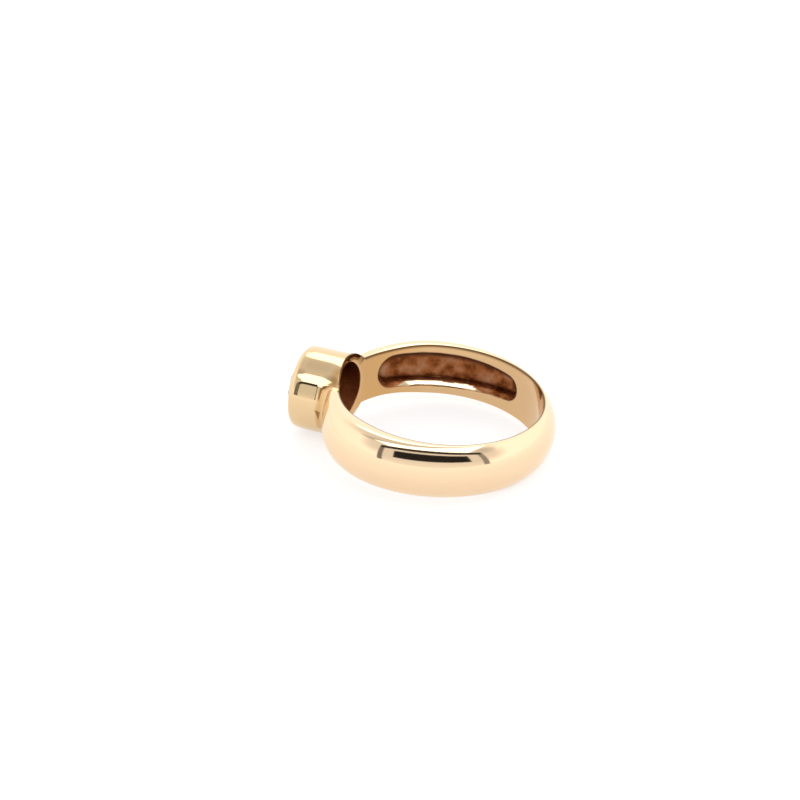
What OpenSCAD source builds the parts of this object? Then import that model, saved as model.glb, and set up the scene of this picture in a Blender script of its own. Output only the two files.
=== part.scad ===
/* [Finger hole] */
// Inside diameter of the shank, where the finger goes in
finger_d = 17; // [15:0.1:21]

/* [Shank] */
// Width of the shank along the finger
shank_w = 4.7; // [4:0.1:5.4]
// Width taken off each side of the shank beside the bezel
shoulder_trim = 0.2; // [0.05:0.05:0.3]
// Angle from the stone at which the side trim has run out
trim_end = 68; // [55:1:90]
// Thickness of the shank at its crown, opposite the stone
back_t = 1.25; // [1.2:0.05:1.6]
// Thickness of the shank at its crown, on the shoulders
shoulder_t = 2.05; // [1.6:0.05:2.4]
// Thickness of the shank where it runs under the bezel
head_t = 0.7; // [0.6:0.05:1]
// Rise of the dome over the shank's side corners, opposite the stone
back_rise = 1.02; // [0.8:0.01:1.02]
// Rise of the dome over the shank's side corners, on the shoulders
shoulder_rise = 0.92; // [0.8:0.01:1.1]
// Flat side of the shank opposite the stone, inside its rounded corner
back_edge = 0.2; // [0.12:0.01:0.22]
// Flat side of the shank on the shoulders, inside its rounded corner
shoulder_edge = 0.68; // [0.5:0.02:0.8]
// Angle from the stone at which the shoulders are thickest
shoulder_at = 55; // [45:1:65]
// Angle over which the shoulders thin down to the back
shoulder_run = 80; // [60:1:100]

/* [Pockets inside the shank] */
// Depth of the cast pocket inside each shoulder
pocket_depth = 0.85; // [0.4:0.05:0.9]
// Width of the pocket at its end beside the stone
pocket_w = 3.2; // [2:0.1:3.4]
// Width of the pocket at its end towards the back
pocket_back_w = 2.5; // [1.6:0.1:2.8]
// Angle from the stone at which the pocket begins
pocket_from = 33.6; // [32:0.2:40]
// Angle from the stone at which the pocket ends
pocket_to = 123; // [100:1:130]

/* [Bezel] */
// Outside diameter of the bezel tube
bezel_d = 7.1; // [6.9:0.05:7.6]
// Diameter of the open well behind the stone
well_d = 5.8; // [5.6:0.05:5.9]
// Height of the bezel rim above the finger hole
bezel_h = 3.9; // [3.7:0.05:4.5]
// Rounding of the rim's outer corner
rim_round = 0.66; // [0.3:0.02:0.68]
// Height of the lip that is pressed over the stone, above the girdle
lip_h = 0.25; // [0.15:0.01:0.3]
// Radius of the fillet between the bezel and the shank's sides
side_fillet = 1.2; // [0.8:0.1:1.4]
// Radius of the fillet between the bezel and the shank's crown
crown_fillet = 1.0; // [0.6:0.1:1.2]

/* [Diamond] */
// Girdle diameter of the round brilliant
stone_d = 6.1; // [6:0.05:6.15]
// Table width, as a share of the girdle diameter
table_share = 0.57; // [0.53:0.01:0.62]
// Crown height, as a share of the girdle diameter
crown_share = 0.15; // [0.13:0.005:0.165]
// Girdle thickness, as a share of the girdle diameter
girdle_share = 0.03; // [0.02:0.005:0.04]
// Pavilion depth, as a share of the girdle diameter
pavilion_share = 0.43; // [0.42:0.005:0.44]
// Height of the table above the bezel rim
table_proud = 0.46; // [0.35:0.01:0.55]
// Clearance between the stone and its seat
seat_gap = 0.03; // [0.02:0.005:0.05]

/* [Hidden] */
$fn = 96;

finger_r = finger_d / 2;
half_w = shank_w / 2;
bezel_r = bezel_d / 2;
well_r = well_d / 2;
rim_top = finger_r + bezel_h;

stone_r = stone_d / 2;
table_r = stone_r * table_share;
table_top = rim_top + table_proud;
girdle_top = table_top - stone_d * crown_share;
girdle_base = girdle_top - stone_d * girdle_share;
culet_at = girdle_base - stone_d * pavilion_share;
crown_slope = (table_top - girdle_top) / (stone_r - table_r);
pavilion_slope = (girdle_base - culet_at) / stone_r;

// The ring lies on its side: the bezel is wider than the shank, so the bezel end is raised.
rest_tilt = atan((bezel_r - half_w) / (2 * finger_r + back_edge));
rest_lift = bezel_r * cos(rest_tilt) - finger_r * sin(rest_tilt);
front_y = -table_top * cos(rest_tilt) - table_r * sin(rest_tilt);
back_arc = arc_radius(back_rise, half_w);
back_y = (finger_r + back_t - back_arc) * cos(rest_tilt) + back_arc;
mid_y = (front_y + back_y) / 2;

// Radius of a dome that rises this much from the corners at half width w to the crown
function arc_radius(rise, w) = (rise * rise + w * w) / (2 * rise);
function blend(from, to, share) = from + (to - from) * share;
// Share of the shoulder's full thickness at an angle from the stone, 0 to 1
function swell(a) =
    a < shoulder_at ? (1 - cos(180 * a / shoulder_at)) / 2
    : a < shoulder_at + shoulder_run ? (1 + cos(180 * (a - shoulder_at) / shoulder_run)) / 2
    : 0;
// Where the shank runs under the bezel it is nearly flat, with a sharp corner
head_rise = 0.02;
function crown_t(a) = blend(a < shoulder_at ? head_t : back_t, shoulder_t, swell(a));
function rise_t(a) = blend(a < shoulder_at ? head_rise : back_rise, shoulder_rise, swell(a));
function edge_t(a) = blend(a < shoulder_at ? head_t - head_rise : back_edge, shoulder_edge, swell(a));
// Share of the side trim at an angle from the stone: all of it to 35 degrees, then fading
trim_from = 35;
function trim(a) =
    a < trim_from ? shoulder_trim
    : a > trim_end ? 0
    : shoulder_trim * (1 + cos(180 * (a - trim_from) / (trim_end - trim_from))) / 2;
// Height of a concave fillet of radius r, at a distance past the wall it climbs
function fillet_rise(r, past) = past >= r ? 0 : r - sqrt(r * r - pow(r - max(past, 0), 2));

// Half width of the shank, with the fillet that runs up to the bezel's round side.
// The fillets are drawn to a wall a little inside the tube, so that they cross its skin.
fillet_root = 0.1;
wall_r = bezel_r - fillet_root;
trimmed_w = half_w - shoulder_trim;
fillet_x = sqrt(pow(wall_r + side_fillet, 2) - pow(trimmed_w + side_fillet, 2));
fillet_start = fillet_x * wall_r / (wall_r + side_fillet);
function shank_half(a) =
    let (x = (finger_r + edge_t(a)) * sin(a))
    a > 90 || x > fillet_x ? half_w - trim(a)
    : trimmed_w + side_fillet - sqrt(pow(side_fillet, 2) - pow(fillet_x - max(x, fillet_start), 2));

// Radius of the shank's outer surface at angle a from the stone and height z: a dome whose
// corner is rounded by an arc that leaves the flat side at its stated thickness
function crown_r(a, z) =
    let (w = half_w - trim(a), arc = arc_radius(rise_t(a), w))
    let (dome_at = finger_r + crown_t(a) - arc, flat_at = finger_r + edge_t(a))
    let (corner_r = max(0, (arc * arc - w * w - pow(flat_at - dome_at, 2)) / (2 * (arc - w))))
    let (past_dome = abs(z) - (w - corner_r) * arc / (arc - corner_r))
    past_dome <= 0 || corner_r == 0 ? dome_at + sqrt(arc * arc - min(z * z, w * w))
    : flat_at + sqrt(max(0, corner_r * corner_r - pow(abs(z) - w + corner_r, 2)));
// Point on the outer surface, raised along the bezel's axis where the fillet climbs the tube
function outer_point(a, z) =
    let (from_stone = min(a, 360 - a), r = crown_r(from_stone, z))
    let (from_wall = norm([r * sin(a), z]) - wall_r)
    let (rise = from_stone < 90 ? fillet_rise(crown_fillet, from_wall) : 0)
    [r * sin(a), -r * cos(a) - rise, z];

// Stations round one half of the shank, close together where the fillets are
fillet_from = 14;
fillet_to = 32;
under_bezel = [0 : 7 : fillet_from - 1];
through_fillet = [fillet_from : fillet_to - 1];
round_the_rest = [fillet_to : 4 : 180];
half_stations = concat([for (a = under_bezel) a], [for (a = through_fillet) a], [for (a = round_the_rest) a]);
stations = concat(
    half_stations,
    [for (i = [len(half_stations) - 2 : -1 : 1]) 360 - half_stations[i]]
);
crown_steps = 14;
// The blank is solid this far inside the finger hole, which is bored afterwards
bore_stock = 0.8;
core_r = finger_r - bore_stock;

// Points of one section: up the outer surface, then back down inside the finger hole
function section(a) =
    let (h = shank_half(min(a, 360 - a)))
    concat(
        [for (j = [0 : crown_steps]) outer_point(a, h * sin(-90 + 180 * j / crown_steps))],
        [for (z = [h, -h]) [core_r * sin(a), -core_r * cos(a), z]]
    );

// A closed band, swept through its sections
module shank_blank() {
    per = crown_steps + 3;
    count = len(stations);
    points = [for (a = stations) each section(a)];
    quads = [for (i = [0 : count - 1]) for (j = [0 : per - 1])
        [i * per + j, i * per + (j + 1) % per,
         ((i + 1) % count) * per + (j + 1) % per, ((i + 1) % count) * per + j]];
    faces = [for (q = quads) each [[q[0], q[1], q[2]], [q[0], q[2], q[3]]]];
    polyhedron(points = points, faces = faces);
}

// Turns a shape made along +Z so that it points from the finger hole to the stone
module towards_stone() {
    rotate([90, 0, 0]) children();
}

// The tube starts inside the finger hole and is cut to its curve when the hole is bored
bezel_root = finger_r - 1.5;
module bezel_tube() {
    towards_stone() rotate_extrude() {
        translate([0, bezel_root]) square([bezel_r, rim_top - rim_round - bezel_root]);
        translate([0, bezel_root]) square([bezel_r - rim_round, rim_top - bezel_root]);
        translate([bezel_r - rim_round, rim_top - rim_round]) circle(rim_round);
    }
}

// The open well behind the stone, its seat, and the mouth of the pressed lip
module well_and_seat() {
    seat_r = stone_r + seat_gap;
    ledge_top = girdle_base - seat_gap;
    ledge_base = ledge_top - (seat_r - well_r) * pavilion_slope;
    lip_base = girdle_top + seat_gap;
    lip_r = seat_r - lip_h * (stone_r - star_r) / (star_h - girdle_top);
    mouth_r = bezel_r - rim_round;
    towards_stone() rotate_extrude() polygon([
        [0, bezel_root - 1], [well_r, bezel_root - 1], [well_r, ledge_base], [seat_r, ledge_top],
        [seat_r, lip_base], [lip_r, lip_base + lip_h], [mouth_r, rim_top], [mouth_r, rim_top + 1],
        [0, rim_top + 1]
    ]);
}

// A cast pocket inside one shoulder: two round ends joined by a band that narrows.
// The band is a hair slimmer than the ends, so that its sides cross theirs cleanly.
module pocket() {
    hair = 0.06;
    front_r = pocket_w / 2;
    back_r = pocket_back_w / 2;
    front_a = pocket_from + asin(front_r / finger_r);
    back_a = pocket_to - asin(back_r / finger_r);
    front_end_y = -finger_r * cos(front_a);
    back_end_y = -finger_r * cos(back_a);
    narrowing = (front_r - back_r) / (back_end_y - front_end_y);
    stone_side_w = front_r - hair + narrowing * (finger_r + front_end_y);
    back_side_w = front_r - hair - narrowing * (finger_r - front_end_y);
    floor_r = finger_r + pocket_depth;
    reach = 2;
    intersection() {
        cylinder(r = floor_r, h = shank_w, center = true);
        union() {
            for (e = [[front_a, front_r], [back_a, back_r]])
                rotate([0, 0, e[0] - 90]) translate([core_r, 0, 0]) rotate([0, 90, 0])
                    cylinder(r = e[1], h = reach);
            intersection() {
                rotate([0, 0, front_a - 90]) rotate_extrude(angle = back_a - front_a)
                    translate([core_r, -half_w]) square([reach, shank_w]);
                rotate([90, 0, 90]) linear_extrude(2 * finger_r) polygon([
                    [-finger_r, -stone_side_w], [finger_r, -back_side_w],
                    [finger_r, back_side_w], [-finger_r, stone_side_w]
                ]);
            }
        }
    }
}

// Lays the ring down as it rests, with the middle of its box over the origin
module lay_down() {
    translate([0, -mid_y, rest_lift]) rotate([-rest_tilt, 0, 0]) children();
}

module gold_ring() {
    color("#e3bd86") lay_down() difference() {
        union() {
            shank_blank();
            bezel_tube();
        }
        cylinder(r = finger_r, h = 2 * shank_w, center = true);
        well_and_seat();
        pocket();
        mirror([1, 0, 0]) pocket();
    }
}

// Round brilliant: a table, 8 stars, 8 kites and 16 upper girdle facets over
// 16 lower girdle facets and 8 pavilion mains that meet at the culet
main_count = 8;
main_step = 360 / main_count;
half_step = main_step / 2;
cell_steps = 4;
girdle_count = 2 * main_count * cell_steps;
star_share = 0.55;
lower_share = 0.78;
star_r = blend(table_r * cos(half_step), stone_r, star_share);
star_h = girdle_top + (stone_r - star_r * cos(half_step)) * crown_slope;
lower_r = stone_r * (1 - lower_share);
lower_h = girdle_base - (stone_r - lower_r * cos(half_step)) * pavilion_slope;

function at_angle(r, a, h) = [r * cos(a), r * sin(a), h];
// Height at [x, y] of the plane through three points
function plane_height(p, q, s, x, y) =
    let (n = cross(q - p, s - p))
    p[2] - (n[0] * (x - p[0]) + n[1] * (y - p[1])) / n[2];
// Height of a girdle facet's rim at angle a, where its inner corner is at mid_r and mid_h
function girdle_edge(a, mid_r, mid_h, h) =
    let (off_main = abs((a + half_step) % main_step - half_step))
    plane_height(
        at_angle(mid_r, half_step, mid_h), at_angle(stone_r, 0, h), at_angle(stone_r, half_step, h),
        stone_r * cos(off_main), stone_r * sin(off_main));

module brilliant() {
    turns = [for (k = [0 : girdle_count - 1]) k * 360 / girdle_count];
    mains = [for (i = [0 : main_count - 1]) i * main_step];
    points = concat(
        [for (a = mains) at_angle(table_r, a, table_top)],
        [for (a = mains) at_angle(star_r, a + half_step, star_h)],
        [for (a = mains) at_angle(lower_r, a + half_step, lower_h)],
        [for (a = turns) at_angle(stone_r, a, girdle_edge(a, star_r, star_h, girdle_top))],
        [for (a = turns) at_angle(stone_r, a, girdle_edge(a, lower_r, lower_h, girdle_base))],
        [[0, 0, culet_at]]
    );
    function table_at(i) = i % main_count;
    function star_at(i) = main_count + i % main_count;
    function lower_at(i) = 2 * main_count + i % main_count;
    function top_at(k) = 3 * main_count + k % girdle_count;
    function base_at(k) = 3 * main_count + girdle_count + k % girdle_count;
    culet = 3 * main_count + 2 * girdle_count;
    per_main = 2 * cell_steps;
    faces = concat(
        [[for (i = [main_count - 1 : -1 : 0]) table_at(i)]],
        [for (i = [0 : main_count - 1]) [table_at(i), table_at(i + 1), star_at(i)]],
        [for (i = [0 : main_count - 1])
            [table_at(i), star_at(i), top_at(i * per_main), star_at(i + main_count - 1)]],
        [for (c = [0 : 2 * main_count - 1])
            [star_at(floor(c / 2)), for (k = [cell_steps : -1 : 0]) top_at(c * cell_steps + k)]],
        [for (k = [0 : girdle_count - 1]) [base_at(k), top_at(k), top_at(k + 1), base_at(k + 1)]],
        [for (c = [0 : 2 * main_count - 1])
            [lower_at(floor(c / 2)), for (k = [0 : cell_steps]) base_at(c * cell_steps + k)]],
        [for (i = [0 : main_count - 1])
            [culet, lower_at(i + main_count - 1), base_at(i * per_main), lower_at(i)]]
    );
    polyhedron(points = points, faces = faces);
}

module diamond() {
    color("#e8f0f4") lay_down() towards_stone() brilliant();
}

gold_ring();
diamond();
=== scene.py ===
"""A diamond solitaire ring lying on its side: the gold ring with its bezel, and the stone set in it.

Lengths are in millimetres while a piece is shaped in the ring's own frame, where the finger hole's
axis is +Z and the stone faces -Y. LAY_DOWN then turns the piece to metres in the CAD's frame.
"""

import math

import bmesh
import bpy
from mathutils import Matrix, Vector, noise


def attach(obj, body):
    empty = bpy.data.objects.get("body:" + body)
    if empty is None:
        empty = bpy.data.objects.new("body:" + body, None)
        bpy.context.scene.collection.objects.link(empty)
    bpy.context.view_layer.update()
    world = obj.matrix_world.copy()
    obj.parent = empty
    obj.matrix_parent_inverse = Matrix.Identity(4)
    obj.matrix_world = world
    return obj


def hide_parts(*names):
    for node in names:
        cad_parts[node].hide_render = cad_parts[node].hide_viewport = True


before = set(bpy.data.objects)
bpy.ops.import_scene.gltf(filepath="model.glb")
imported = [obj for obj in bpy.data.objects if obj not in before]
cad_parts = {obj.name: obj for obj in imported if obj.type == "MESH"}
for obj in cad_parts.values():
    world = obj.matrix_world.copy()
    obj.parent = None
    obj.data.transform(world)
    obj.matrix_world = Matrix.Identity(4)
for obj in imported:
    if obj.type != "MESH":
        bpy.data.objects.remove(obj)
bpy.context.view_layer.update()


# The shank
# A domed band of 14 carat gold with flat sides, thickest on the shoulders and thinnest at the back.
# It is cast with a long pocket inside each shoulder, and its crown and sides are filleted into the
# bezel, so it starts as a bar that is bent round the finger hole, from one side of the bezel to the other.

FINGER_R = 8.5
HALF_W = 2.35
SHOULDER_TRIM = 0.2
TRIM_FROM = 35
TRIM_END = 68
BACK_T = 1.25
SHOULDER_T = 2.05
HEAD_T = 0.7
BACK_RISE = 1.02
SHOULDER_RISE = 0.92
HEAD_RISE = 0.02
BACK_EDGE = 0.2
SHOULDER_EDGE = 0.68
LEAST_CORNER = 0.06
HEAD_CORNER = 0.4
HEAD_CORNER_TO = 50
SHOULDER_AT = 55
SHOULDER_RUN = 80
BEZEL_R = 3.55
SIDE_FILLET = 1.2
CROWN_FILLET_W = 0.5
CROWN_FILLET_H = 1.25
FILLET_WALL_R = BEZEL_R - 0.01
ROOT_R = BEZEL_R - 0.03

REST_TILT = math.atan((BEZEL_R - HALF_W) / (2 * FINGER_R + BACK_EDGE))
REST_LIFT = BEZEL_R * math.cos(REST_TILT) - FINGER_R * math.sin(REST_TILT)
# The middle of the lying ring's length, which the CAD puts over the origin
MID_Y = -1.6078
LAY_DOWN = (
    Matrix.Scale(0.001, 4)
    @ Matrix.Translation((0, -MID_Y, REST_LIFT))
    @ Matrix.Rotation(-REST_TILT, 4, "X")
)


def ease(x):
    x = min(max(x, 0), 1)
    return (1 - math.cos(math.pi * x)) / 2


def blend(start, end, share):
    return start + (end - start) * share


def swell(a):
    if a < SHOULDER_AT:
        return ease(a / SHOULDER_AT)
    return 1 - ease((a - SHOULDER_AT) / SHOULDER_RUN)


def crown_t(a):
    return blend(HEAD_T if a < SHOULDER_AT else BACK_T, SHOULDER_T, swell(a))


def rise_t(a):
    return blend(HEAD_RISE if a < SHOULDER_AT else BACK_RISE, SHOULDER_RISE, swell(a))


def edge_t(a):
    return blend(HEAD_T - HEAD_RISE if a < SHOULDER_AT else BACK_EDGE, SHOULDER_EDGE, swell(a))


def trimmed(a):
    return HALF_W - SHOULDER_TRIM * (1 - ease((a - TRIM_FROM) / (TRIM_END - TRIM_FROM)))


def dome_r(a, z):
    """Radius of the outer surface: an arc over the crown, rounded into the flat side by a smaller one."""
    w = trimmed(a)
    arc = (rise_t(a) ** 2 + w * w) / (2 * rise_t(a))
    dome_at = FINGER_R + crown_t(a) - arc
    to_flat = FINGER_R + edge_t(a) - dome_at
    least = LEAST_CORNER if a > HEAD_CORNER_TO else HEAD_CORNER
    corner_r = max(least, (arc * arc - w * w - to_flat**2) / (2 * (arc - w)))
    to_flat = math.sqrt(arc * arc - w * w - 2 * corner_r * (arc - w))
    if abs(z) < (w - corner_r) * arc / (arc - corner_r):
        return dome_at + math.sqrt(arc * arc - z * z)
    past = min(abs(z) - w + corner_r, corner_r)
    return dome_at + to_flat + math.sqrt(corner_r**2 - past**2)


def crown_fillet(past):
    """Rise of the fillet up the bezel, at a distance past the bezel's wall."""
    share = 1 - max(past, 0) / CROWN_FILLET_W
    return 0 if share <= 0 else CROWN_FILLET_H * (1 - math.sqrt(1 - share * share))


SIDE_W = HALF_W - SHOULDER_TRIM
FILLET_X = math.sqrt((FILLET_WALL_R + SIDE_FILLET) ** 2 - (SIDE_W + SIDE_FILLET) ** 2)
FILLET_START = FILLET_X * FILLET_WALL_R / (FILLET_WALL_R + SIDE_FILLET)


def half_width(a, x):
    if a > 90 or x > FILLET_X:
        return trimmed(a)
    run = FILLET_X - max(x, FILLET_START)
    return SIDE_W + SIDE_FILLET - math.sqrt(SIDE_FILLET**2 - run * run)


# A pocket has a sloping lip, then a steep wall down to its floor. Angles are counted from the stone.
# Polish has bared the lower lip between two angles, and elsewhere the casting skin starts at the outline.
POCKET_DEPTH = 0.85
POCKET_FRONT_R = 1.6
POCKET_BACK_R = 1.25
POCKET_FRONT = 33.6 + math.degrees(math.asin(POCKET_FRONT_R / FINGER_R))
POCKET_BACK = 123 - math.degrees(math.asin(POCKET_BACK_R / FINGER_R))
POCKET_BELLY = 0.7
POCKET_LIP = 0.4
POCKET_LIP_DEPTH = 0.34
POCKET_WALL = 0.14
POCKET_WANDER = 0.035
POCKET_WAVES = 0.03
SKIN_EDGE = -0.06
SKIN_BLUR = 0.12
BARE_LIP = 0.3
BARE_FROM = 55
BARE_TO = 88


def softened(x, run, end=0.15):
    """A straight rise from 0 to 1 over the run, with its two ends rounded off."""
    x = min(max(x / run, -end), 1 + end)
    low = max(x + end, 0) ** 2 / (4 * end) if x < end else x
    return 1 - (1 + end - x) ** 2 / (4 * end) if x > 1 - end else low


def past_pocket_edge(a, z):
    """Distance inwards from the pocket's outline on the finger hole's wall, negative outside it."""
    if a < POCKET_FRONT:
        return POCKET_FRONT_R - math.hypot(FINGER_R * math.sin(math.radians(POCKET_FRONT - a)), z)
    if a > POCKET_BACK:
        return POCKET_BACK_R - math.hypot(FINGER_R * math.sin(math.radians(a - POCKET_BACK)), z)
    front_y, y, back_y = (-math.cos(math.radians(v)) for v in (POCKET_FRONT, a, POCKET_BACK))
    share = (y - front_y) / (back_y - front_y)
    return blend(POCKET_FRONT_R, POCKET_BACK_R, share) + POCKET_BELLY * share * (1 - share) - abs(z)


def pocket_at(side, a, z):
    """Depth below the finger hole's wall, and how much casting skin and how much painted shade lies there.
    """
    wander = POCKET_WANDER * noise.noise(Vector((0.9 * a / 6.7, 1.1 * z, side)))
    past = past_pocket_edge(a, z) + wander
    in_wall = ease((past - 0.9 * POCKET_LIP) / POCKET_WALL)
    depth = POCKET_LIP_DEPTH * softened(past, POCKET_LIP) + (POCKET_DEPTH - POCKET_LIP_DEPTH) * in_wall
    waves = noise.noise(Vector((a / 3.2, 2.1 * z, 5 * side)))
    depth += POCKET_WAVES * waves * ease((past - POCKET_LIP - POCKET_WALL) / 0.3)
    # Painted shade lies in a narrow band at the foot of the lower wall, and over the upper lip and the top
    # of the floor below it.
    if z < 0:
        polished = 1 - ease((BARE_FROM - a) / 10) - ease((a - BARE_TO) / 12)
        skin_from = blend(SKIN_EDGE, BARE_LIP, polished)
        grime = ease((past - 0.38) / 0.1) * (1 - ease((past - 0.5) / 0.25))
    else:
        skin_from = SKIN_EDGE
        grime = 1 - ease((past - 0.65) / 0.4)
    return depth, ease((past - skin_from) / SKIN_BLUR), grime


ROOT_A = math.degrees(math.asin(ROOT_R / FINGER_R))
SQUARE_A = 46
STATIONS = ((0, ROOT_A), (0.25, SQUARE_A), (0.78, 124), (1, 180))
LENGTH_CUTS = 559
WIDTH_CUTS = 55
SEAM_SINK = 0.02
INNER_BEVEL = 0.07


def station_angle(share):
    """Angle from the stone, with the cuts closest together where the fillet leaves the bezel."""
    for (s0, a0), (s1, a1) in zip(STATIONS, STATIONS[1:]):
        if share <= s1:
            run = (share - s0) / (s1 - s0)
            return blend(a0, a1, run * run if s0 == 0 else run)
    return 180


def shank_point(along, outer, across):
    """Place of a vertex of the bar, and how much casting skin and how much painted shade lies there."""
    side = 1 if along < 0.5 else -1
    a = station_angle(2 * min(along, 1 - along))
    sin_a = math.sin(math.radians(a))
    square = 1 - ease((a - ROOT_A) / (SQUARE_A - ROOT_A))
    half = trimmed(a)
    if a < 90:
        # The half width and the place of the edge hang on one another, and six rounds settle them.
        for _ in range(6):
            edge_x = blend((FINGER_R + edge_t(a)) * sin_a, FINGER_R * sin_a, square)
            half = half_width(a, math.sqrt(edge_x * edge_x - square * half * half))
    z = half * (math.sin(math.pi / 2 * across) if outer else across)
    if not outer:
        x = math.sqrt((FINGER_R * sin_a) ** 2 - square * z * z)
        in_a = math.degrees(math.asin(x / FINGER_R))
        in_a = in_a if a < 90 else 180 - in_a
        depth, skin, grime = pocket_at(side, in_a, z)
        sink = SEAM_SINK * ease((BEZEL_R + 0.05 - math.hypot(x, z)) / 0.3) if a < 90 else 0
        r = FINGER_R + depth + sink
        turn = math.radians(in_a)
        return Vector((side * r * math.sin(turn), -r * math.cos(turn), z)), skin, grime
    out_a = a
    dome_z = z * trimmed(a) / half
    if square > 0:
        x = blend(dome_r(a, dome_z) * sin_a, FINGER_R * sin_a, square)
        x = math.sqrt(x * x - square * z * z)
        for _ in range(6):
            out_a = math.degrees(math.asin(x / dome_r(out_a, dome_z)))
    r = dome_r(out_a, dome_z)
    turn = math.radians(out_a)
    x = r * math.sin(turn)
    rise = crown_fillet(math.hypot(x, z) - FILLET_WALL_R) * ease((half - abs(z)) / 0.5) if a < 90 else 0
    return Vector((side * x, -r * math.cos(turn) - rise, z)), 0, 0


def long_edges(bm, axis):
    return [e for e in bm.edges if abs((e.verts[0].co - e.verts[1].co)[axis]) > 1e-6]


bar = bmesh.new()
bmesh.ops.create_cube(bar, size=1)
bmesh.ops.translate(bar, verts=bar.verts, vec=(0.5, 0.5, 0))
bmesh.ops.scale(bar, verts=bar.verts, vec=(1, 1, 2))
bmesh.ops.subdivide_edges(bar, edges=long_edges(bar, 0), cuts=LENGTH_CUTS, use_grid_fill=True)
bmesh.ops.subdivide_edges(bar, edges=long_edges(bar, 2), cuts=WIDTH_CUTS, use_grid_fill=True)
inner_corners = [
    e for e in long_edges(bar, 0) if e.verts[0].co.y < 0.5 and abs(abs(e.verts[0].co.z) - 1) < 1e-6
]
cast = bar.verts.layers.float.new("cast")
# A second layer holds the painted shade in the pockets.
grime = bar.verts.layers.float.new("grime")
for v in bar.verts:
    v.co, v[cast], v[grime] = shank_point(v.co.x, v.co.y > 0.5, v.co.z)
bmesh.ops.recalc_face_normals(bar, faces=bar.faces)
bmesh.ops.bevel(
    bar,
    geom=inner_corners,
    offset=INNER_BEVEL,
    offset_type="OFFSET",
    segments=3,
    profile=0.5,
    affect="EDGES",
    material=-1,
)
# Along the finger hole's upper corner the gold gets a thin line of painted shade, so it has a layer of its
# own.
corner = bar.verts.layers.float.new("corner")
for v in bar.verts:
    a = math.degrees(math.atan2(abs(v.co.x), -v.co.y))
    side_x = abs(v.co.x) * (1 + 0.08 * ease((a - ROOT_A) / (SQUARE_A - ROOT_A)))
    v[corner] = ease((v.co.z - half_width(a, side_x) + 0.32) / 0.26)


def made(bm, name):
    mesh = bpy.data.meshes.new(name)
    bm.to_mesh(mesh)
    bm.free()
    piece = bpy.data.objects.new(name, mesh)
    bpy.context.collection.objects.link(piece)
    return piece


ring = made(bar, "polished_ring")

# The bezel
# A tube of the same gold, turned and soldered between the shoulders. Its rim is rounded over and
# pressed down on the stone's girdle, and its foot is cut to the curve of the finger hole.

WELL_R = 2.9
RIM_TOP = 12.4
RIM_ROUND = 0.66
LIP_H = 0.25
SEAT_GAP = 0.03
STONE_R = 3.05
TABLE_TOP = RIM_TOP + 0.46
GIRDLE_TOP = TABLE_TOP - 0.3 * STONE_R
GIRDLE_BASE = GIRDLE_TOP - 0.06 * STONE_R
PAVILION_SLOPE = 0.86
SEAT_R = STONE_R + SEAT_GAP
LEDGE_TOP = GIRDLE_BASE - SEAT_GAP
LEDGE_BASE = LEDGE_TOP - (SEAT_R - WELL_R) * PAVILION_SLOPE
LIP_R = 2.8
SIDE_LEAN = math.radians(6)
SIDE_BEND_R = 8
MOUTH_R = BEZEL_R - RIM_ROUND - (SIDE_BEND_R - RIM_ROUND) * (1 - math.cos(SIDE_LEAN))
FOOT = 7
FLARE_TOP = 9.65
FLARE_R = 6
COVERED_Z = 2.58
TUBE_BEVEL = 0.06
WALL_ROWS = 24
RIM_STEPS = 14
BEND_STEPS = 10

outline = [
    (WELL_R, blend(FOOT, LEDGE_BASE, i / WALL_ROWS)) for i in range(WALL_ROWS + 1)
] + [
    (SEAT_R, LEDGE_TOP),
    (SEAT_R, GIRDLE_TOP + SEAT_GAP),
    (LIP_R, GIRDLE_TOP + SEAT_GAP + LIP_H),
    (MOUTH_R, RIM_TOP),
]
for i in range(1, RIM_STEPS + 1):
    turn = (math.pi / 2 - SIDE_LEAN) * i / RIM_STEPS
    outline.append(
        (MOUTH_R + RIM_ROUND * math.sin(turn), RIM_TOP - RIM_ROUND * (1 - math.cos(turn)))
    )
bend_foot = outline[-1][1] - SIDE_BEND_R * math.sin(SIDE_LEAN)
for i in range(1, BEND_STEPS + 1):
    lean = SIDE_LEAN * (1 - i / BEND_STEPS)
    outline.append((BEZEL_R - SIDE_BEND_R * (1 - math.cos(lean)), bend_foot + SIDE_BEND_R * math.sin(lean)))
outline += [(BEZEL_R, blend(bend_foot, FOOT, i / WALL_ROWS)) for i in range(1, WALL_ROWS + 1)]

tube = bmesh.new()
loop = [tube.verts.new((r, -h, 0)) for r, h in outline]
edges = [tube.edges.new(pair) for pair in zip(loop, loop[1:] + loop[:1])]
bmesh.ops.spin(
    tube,
    geom=loop + edges,
    cent=(0, 0, 0),
    axis=(0, 1, 0),
    angle=2 * math.pi,
    steps=160,
    use_merge=True,
)
bmesh.ops.recalc_face_normals(tube, faces=tube.faces)
# Below the ledge the tube is drawn down to the finger hole's curve. Its foot flares a little towards the
# shoulders, and the well's wall has a casting skin of its own, which the layer marks with a 2.
cast = tube.verts.layers.float.new("cast")
for v in tube.verts:
    r, h = math.hypot(v.co.x, v.co.z), -v.co.y
    if h < LEDGE_BASE - 1e-6:
        down = (LEDGE_BASE - h) / (LEDGE_BASE - FOOT)
        if r > BEZEL_R - 0.01:
            above_foot = blend(LEDGE_BASE, math.sqrt(FINGER_R**2 - v.co.x**2), down)
            towards_shoulder = ease((abs(v.co.x) / r - 0.17) / 0.54)
            flare = max(FLARE_TOP - above_foot, 0) ** 2 / (2 * FLARE_R) * towards_shoulder
            v.co.x *= 1 + flare / r
            v.co.z *= 1 + flare / r
        v.co.y = -blend(LEDGE_BASE, math.sqrt(FINGER_R**2 - v.co.x**2), down)
        v[cast] = 2 if r < WELL_R + 0.01 and h > FOOT + 0.01 else 0
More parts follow.
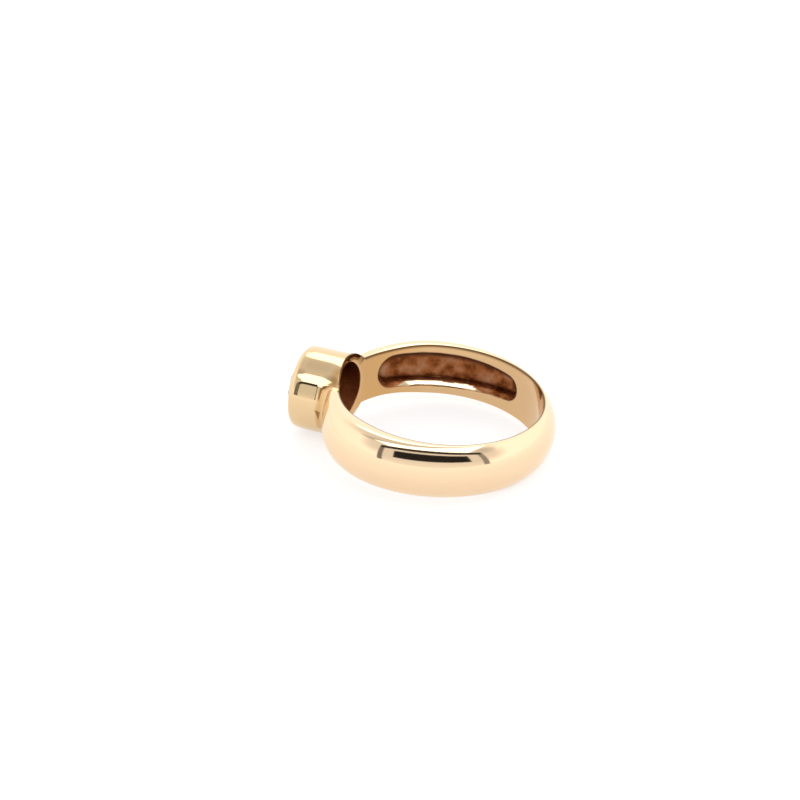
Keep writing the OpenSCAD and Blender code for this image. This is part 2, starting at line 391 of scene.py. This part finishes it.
# The foot's outer edge stays sharp where the shoulder's metal covers it.
sharp = []
for e in tube.edges:
    x, y, z = e.verts[0].co
    covered = -y < FINGER_R and math.hypot(x, z) > WELL_R + 0.1 and abs(z) < COVERED_Z
    if e.calc_face_angle() > math.radians(40) and not covered:
        sharp.append(e)
bmesh.ops.bevel(
    tube,
    geom=sharp,
    offset=TUBE_BEVEL,
    offset_type="OFFSET",
    segments=3,
    profile=0.5,
    affect="EDGES",
    material=-1,
)
# The bezel's foot carries on the painted shade along the finger hole's upper corner.
corner = tube.verts.layers.float.new("corner")
for v in tube.verts:
    at_foot = v.co.z > 0 and math.hypot(v.co.x, v.co.y) < FINGER_R + 0.1
    v[corner] = ease((math.hypot(v.co.x, v.co.z) - 3.2) / 0.3) if at_foot else 0
bezel = made(tube, "bezel")

solder = ring.modifiers.new("solder", "BOOLEAN")
solder.operation = "UNION"
solder.solver = "MANIFOLD"
solder.object = bezel
bpy.context.view_layer.update()
soldered = bpy.data.meshes.new_from_object(ring.evaluated_get(bpy.context.evaluated_depsgraph_get()))
ring.modifiers.clear()
ring.data = soldered
bpy.data.objects.remove(bezel)
soldered.transform(LAY_DOWN)
for poly in soldered.polygons:
    poly.use_smooth = True
soldered.set_sharp_from_angle(angle=math.radians(35))
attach(ring, "root")
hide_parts("gold_ring")


class Wire:
    """An output socket. Arithmetic on it adds Math nodes, and node() adds any other kind of node."""

    def __init__(self, tree, socket=None):
        self.tree = tree
        self.socket = socket

    def node(self, kind, settings, values, output=0):
        added = self.tree.nodes.new("ShaderNode" + kind)
        for name, value in settings.items():
            if name == "stops":
                stops = added.color_ramp.elements
                stops.remove(stops[1])
                stops[0].position, stops[0].color = value[0]
                for at, colour in value[1:]:
                    stops.new(at).color = colour
            else:
                setattr(added, name, value)
        for name, value in values.items():
            if isinstance(value, Wire):
                self.tree.links.new(value.socket, added.inputs[name])
            else:
                added.inputs[name].default_value = value
        return Wire(self.tree, added.outputs[output])

    def math(self, operation, *values):
        return self.node("Math", {"operation": operation}, dict(enumerate(values)))

    def __add__(self, other):
        return self.math("ADD", self, other)

    def __radd__(self, other):
        return self.math("ADD", other, self)

    def __sub__(self, other):
        return self.math("SUBTRACT", self, other)

    def __rsub__(self, other):
        return self.math("SUBTRACT", other, self)

    def __mul__(self, other):
        return self.math("MULTIPLY", self, other)

    def __rmul__(self, other):
        return self.math("MULTIPLY", other, self)

    def __truediv__(self, other):
        return self.math("DIVIDE", self, other)

    def __rtruediv__(self, other):
        return self.math("DIVIDE", other, self)

    def at_least(self, other):
        return self.math("MAXIMUM", self, other)

    def past(self, edge, blur):
        """0 below the edge and 1 above it, over the width of the blur."""
        return self.node(
            "MapRange",
            {"clamp": True},
            {"Value": self, "From Min": edge - blur / 2, "From Max": edge + blur / 2},
        )

    def feed(self, node, name):
        self.tree.links.new(self.socket, node.inputs[name])


gold = bpy.data.materials.new("gold")
gold.use_nodes = True
shader = gold.node_tree.nodes["Principled BSDF"]
shader.inputs["Metallic"].default_value = 1

start = Wire(gold.node_tree)
stand_up = LAY_DOWN.inverted()
place = start.node("TexCoord", {}, {}, "Object")
place = place.node(
    "Mapping",
    {},
    {
        "Vector": place,
        "Location": stand_up.to_translation(),
        "Rotation": stand_up.to_euler(),
        "Scale": stand_up.to_scale(),
    },
)


def grain(scale, detail, shift=0):
    at = place.node("Mapping", {}, {"Vector": place, "Location": (shift, shift, shift)})
    return place.node("TexNoise", {}, {"Vector": at, "Scale": scale, "Detail": detail}, "Fac")


def mixed(share, first, second):
    return share.node("Mix", {"data_type": "RGBA"}, {0: share, 6: first, 7: second}, 2)


def distance_from(axis):
    across = place.node("VectorMath", {"operation": "CROSS_PRODUCT"}, {0: place, 1: axis})
    return across.node("VectorMath", {"operation": "LENGTH"}, {0: across}, "Value")


def reach(axis):
    return place.node("VectorMath", {"operation": "DOT_PRODUCT"}, {0: place, 1: axis}, "Value")


# Distances in the ring's own frame, and masks from 0 to 1 that follow them or the layers of the mesh
as_cast = start.node("Attribute", {"attribute_name": "cast"}, {}, "Fac")
in_pocket = as_cast.past(0.5, 1)
in_well = as_cast.past(1.5, 1)
from_hole = distance_from((0, 0, 1))
from_stone = distance_from((0, 1, 0))
to_stone = reach((0, -1, 0))
upper = reach((0, 0, 1))
right_side = reach((1, 0, 0)).past(0, 1)
in_hole = 1 - from_hole.past(FINGER_R + 0.03, 0.06)
on_crown = from_hole.past(FINGER_R + 0.9, 0.6)
on_bezel = (1 - from_stone.past(BEZEL_R + 0.3, 0.5)) * to_stone.past(0, 1)
in_fillet = from_stone.past(BEZEL_R + 0.04, 0.06) * on_bezel
at_corner = start.node("Attribute", {"attribute_name": "corner"}, {}, "Fac")
at_corner = at_corner * (1 - from_hole.past(FINGER_R + 0.12, 0.08))
in_nook = start.node("Attribute", {"attribute_name": "grime"}, {}, "Fac")

POLISHED = (0.87, 0.653, 0.428, 1)
BEZEL_REFLECTED_GOLD = (0.735, 0.54, 0.31, 1)
FILLET_REFLECTED_GOLD = (0.6, 0.36, 0.15, 1)
REFLECTED_HOLE_GOLD = (0.7, 0.46, 0.24, 1)
HEAD_WALL = (0.66, 0.39, 0.16, 1)
CORNER_SHADE = (0.12, 0.06, 0.02, 1)
CREASE_SHADE = (0.26, 0.12, 0.04, 1)
COPPER_SKIN = (
    (0, (0.053, 0.015, 0.005, 1)),
    (0.35, (0.193, 0.055, 0.014, 1)),
    (0.6, (0.354, 0.127, 0.044, 1)),
    (1, (0.438, 0.236, 0.135, 1)),
)
SHADED_SKIN = (0.06, 0.016, 0.005, 1)
WELL_FOOT = (0.32, 0.1, 0.035, 1)
WELL_TOP = (0.12, 0.025, 0.006, 1)
mottle = grain(0.9, 3)
flecks = grain(3.8, 2, 1)
skin = mottle.past(0.5, 0.4) * 0.75 + flecks * 0.3
skin = skin.node("ValToRGB", {"stops": COPPER_SKIN}, {"Fac": skin})
# The skin is painted darker along the pockets' outlines and over the whole pocket on the +X side, both as
# painted shade.
skin = mixed((in_nook * 0.75).at_least(right_side * 0.43), skin, SHADED_SKIN)
skin = mixed(in_well, skin, mixed((upper + flecks * 2).past(0.2, 4), WELL_FOOT, WELL_TOP))

# The bezel and, more so, its fillet are painted browner, a painted reflection of gold that mirrors gold
# many times. The fillet on the -X side near the finger hole also gets a painted shade.
metal = mixed(on_bezel, POLISHED, BEZEL_REFLECTED_GOLD)
metal = mixed(in_fillet, metal, FILLET_REFLECTED_GOLD)
metal = mixed(in_fillet * (1 - right_side) * (1 - on_crown) * 0.8, metal, CORNER_SHADE)

# A thin brown line of painted shade lies in the crease between the crown and the bezel, and a spot of
# painted shade below it.
line = from_stone.past(BEZEL_R + 0.04, 0.02) * (1 - from_stone.past(BEZEL_R + 0.08, 0.02))
line = line * upper.past(1, 0.3) * (1 - upper.past(2.2, 0.1))
spot = from_stone - (BEZEL_R + 0.095)
spot = 1 - (spot.math("ABSOLUTE", spot) - upper * 0.085).past(0.075, 0.02)
spot = spot * (1 - upper.past(0, 0.15))
metal = mixed(line.at_least(spot) * on_crown * on_bezel, metal, CREASE_SHADE)

# The finger hole's wall is painted browner, and browner still under the stone: a painted reflection of gold
# and of the shade inside the ring.
metal = mixed(in_hole, metal, mixed(to_stone.past(5, 3), REFLECTED_HOLE_GOLD, HEAD_WALL))
# Painted shade along the finger hole's upper corner
metal = mixed(at_corner * 0.9, metal, CORNER_SHADE)
mixed(in_pocket, metal, skin).feed(shader, "Base Color")
rough = 0.05 + grain(0.6, 2, 2) * 0.03 + in_hole * (1 - in_pocket) * 0.05
(rough + in_pocket * (0.3 + flecks * 0.2)).feed(shader, "Roughness")
height = grain(0.3, 1, 3) * 0.15 + in_pocket * (grain(2.5, 4, 4) * 1.2 + mottle * 0.8)
relief = height.node("Bump", {}, {"Height": height, "Strength": 0.6, "Distance": 0.00003})
relief.feed(shader, "Normal")
soldered.materials.clear()
soldered.materials.append(gold)

# The diamond
# A round brilliant of 6.1 mm, about 0.84 carat, which sits on a ledge inside the bezel with its
# girdle under the pressed lip. Its facets come from the CAD.

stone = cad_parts["diamond"]
clear = bpy.data.materials.new("diamond")
clear.use_nodes = True
shader = clear.node_tree.nodes["Principled BSDF"]
shader.inputs["Base Color"].default_value = (0.97, 0.98, 1, 1)
shader.inputs["Roughness"].default_value = 0
shader.inputs["IOR"].default_value = 2.417
shader.inputs["Transmission Weight"].default_value = 1
for slot in stone.material_slots:
    slot.material = clear

# The table top and the light tent
# A plain white sheet under the ring, and a white tent all round it with a bright panel above its front
# wall, a second one behind, and a slot in the front wall for the lens.

TENT_LIGHT = 1.12
table = bmesh.new()
bmesh.ops.create_grid(table, x_segments=1, y_segments=1, size=1.5)
sheet = bpy.data.meshes.new("table_top")
table.to_mesh(sheet)
table.free()
floor = bpy.data.objects.new("table_top", sheet)
bpy.context.collection.objects.link(floor)
paper = bpy.data.materials.new("white_sheet")
paper.use_nodes = True
shader = paper.node_tree.nodes["Principled BSDF"]
shader.inputs["Base Color"].default_value = (0.42, 0.41, 0.41, 1)
shader.inputs["Roughness"].default_value = 1
shader.inputs["Specular IOR Level"].default_value = 0
shader.inputs["Emission Strength"].default_value = 1
start = Wire(paper.node_tree)
from_ring = start.node("TexCoord", {}, {}, "Object")
from_ring = from_ring.node("VectorMath", {"operation": "LENGTH"}, {0: from_ring}, "Value")
# The sheet glows evenly, but less within a few centimetres of the ring: a painted shadow round it.
sheet_glow = (from_ring.past(0.03, 0.04) * 0.1 + 0.58) * TENT_LIGHT
sheet_glow.feed(shader, "Emission Color")
sheet.materials.append(paper)

# The tent is worked out from the direction alone. Its front wall faces the ring, and a place on that
# wall is given by its slope to the right and its slope upwards, as seen from the ring.
AZIMUTH = math.radians(108.294)
WALL_LEFT = -1.08
WALL_RIGHT = 1.2
world = bpy.data.worlds.new("tent")
bpy.context.scene.world = world
world.use_nodes = True
start = Wire(world.node_tree)
look = start.node("TexCoord", {}, {}, "Generated")


def along(direction):
    settings = {"operation": "DOT_PRODUCT"}
    return look.node("VectorMath", settings, {0: look, 1: direction}, "Value")


def towards(azimuth, elevation):
    azimuth = AZIMUTH + math.radians(azimuth)
    elevation = math.radians(elevation)
    level = math.cos(elevation)
    return (math.sin(azimuth) * level, -math.cos(azimuth) * level, math.sin(elevation))


front = along(towards(0, 0))
right_of = along(towards(90, 0))
above = along((0, 0, 1))
in_front = front.at_least(0.001)
across_wall = right_of / in_front
up_wall = above / in_front
across_roof = right_of / above.at_least(0.001)


def card(low, high, foot, top, blur=0.02, across=across_wall):
    """Where the front wall, or the roof above it, has a card."""
    wide = across.past(low, blur) * (1 - across.past(high, blur))
    return wide * (up_wall.past(foot, blur) * (1 - up_wall.past(top, blur)))


def glow(azimuth, elevation, radius, blur):
    """Where the direction is within a radius of a soft patch's middle, in degrees."""
    inner, outer = (math.cos(math.radians(radius + side * blur / 2)) for side in (-1, 1))
    return along(towards(azimuth, elevation)).past((inner + outer) / 2, inner - outer)


# The cloth: a little brighter above the sheet's level, dimmer overhead, lighter on the right and
# darker behind
light = blend(1.12, 1.22, above.past(0.07, 0.14))
light = blend(light, 0.7, above.past(0.8, 0.36))
light = light * (1 + 0.07 * right_of.past(0.3, 0.8) - 0.04 * (0 - front).past(0.3, 0.8))

# Soft patches: how bright, then the azimuth and elevation of the middle, the radius and the blur
PATCHES = (
    (0.55, -68, 53, 10, 12),
    (0.55, -54, 44, 8, 12),
    (0.7, 42, 62, 14, 10),
    (0.83, -52, 30, 12, 14),
    (0.86, 53, 25, 12, 14),
    (0.62, 55, 38, 6, 10),
    (2.4, 175, 51, 14, 4),
)
for brightness, *patch in PATCHES:
    light = blend(light, brightness, glow(*patch))

# The bright panel over the front wall, the wall itself, its two side posts, its top rail and the slot,
# each between two slopes to the right and two upwards
wall_light = blend(0.98, 0.82, up_wall.past(0.12, 0.3))
light = blend(light, 2.4, card(-0.8, 0.85, 0.95, 2.6, 0.05, across_roof))
light = blend(light, wall_light, card(WALL_LEFT, WALL_RIGHT, -0.05, 1))
light = blend(light, 0.2, card(WALL_LEFT, WALL_LEFT + 0.18, 0, 1))
light = blend(light, 0.3, card(WALL_RIGHT - 0.17, WALL_RIGHT, 0, 1))
light = blend(light, 0.03, card(WALL_LEFT, WALL_RIGHT, 0.82, 1.04, 0.012))
light = blend(light, 0.02, card(-0.6, 0.76, 0.28, 0.7))
background = world.node_tree.nodes["Background"]
background.inputs["Color"].default_value = (1, 1, 1, 1)
(light * TENT_LIGHT).feed(background, "Strength")
bpy.context.scene.view_settings.view_transform = "Standard"

# The camera
# A long lens that looks down at the ring through the slot, from beyond its side and a little from
# behind the stone.

ELEVATION = math.radians(27.621)
ROLL = math.radians(0.981)
DISTANCE = 0.2
AIM_RIGHT = -0.003307
AIM_UP = 0.001419
IMAGE_SIZE = 800
PIXELS_PER_METRE = 12008
SENSOR = 36

ring_centre = LAY_DOWN @ Vector((0, 0, 0))
back = Vector(
    (
        math.sin(AZIMUTH) * math.cos(ELEVATION),
        -math.cos(AZIMUTH) * math.cos(ELEVATION),
        math.sin(ELEVATION),
    )
)
right = Vector((math.cos(AZIMUTH), math.sin(AZIMUTH), 0))
up = back.cross(right)
camera = bpy.data.objects.new("camera", bpy.data.cameras.new("camera"))
bpy.context.collection.objects.link(camera)
camera.data.sensor_width = SENSOR
camera.data.lens = PIXELS_PER_METRE * DISTANCE / IMAGE_SIZE * SENSOR
camera.data.clip_start = 0.01
camera.location = ring_centre + right * AIM_RIGHT + up * AIM_UP + back * DISTANCE
turned_right = right * math.cos(ROLL) + up * math.sin(ROLL)
turned_up = up * math.cos(ROLL) - right * math.sin(ROLL)
camera.rotation_euler = Matrix((turned_right, turned_up, back)).transposed().to_euler()
bpy.context.scene.camera = camera
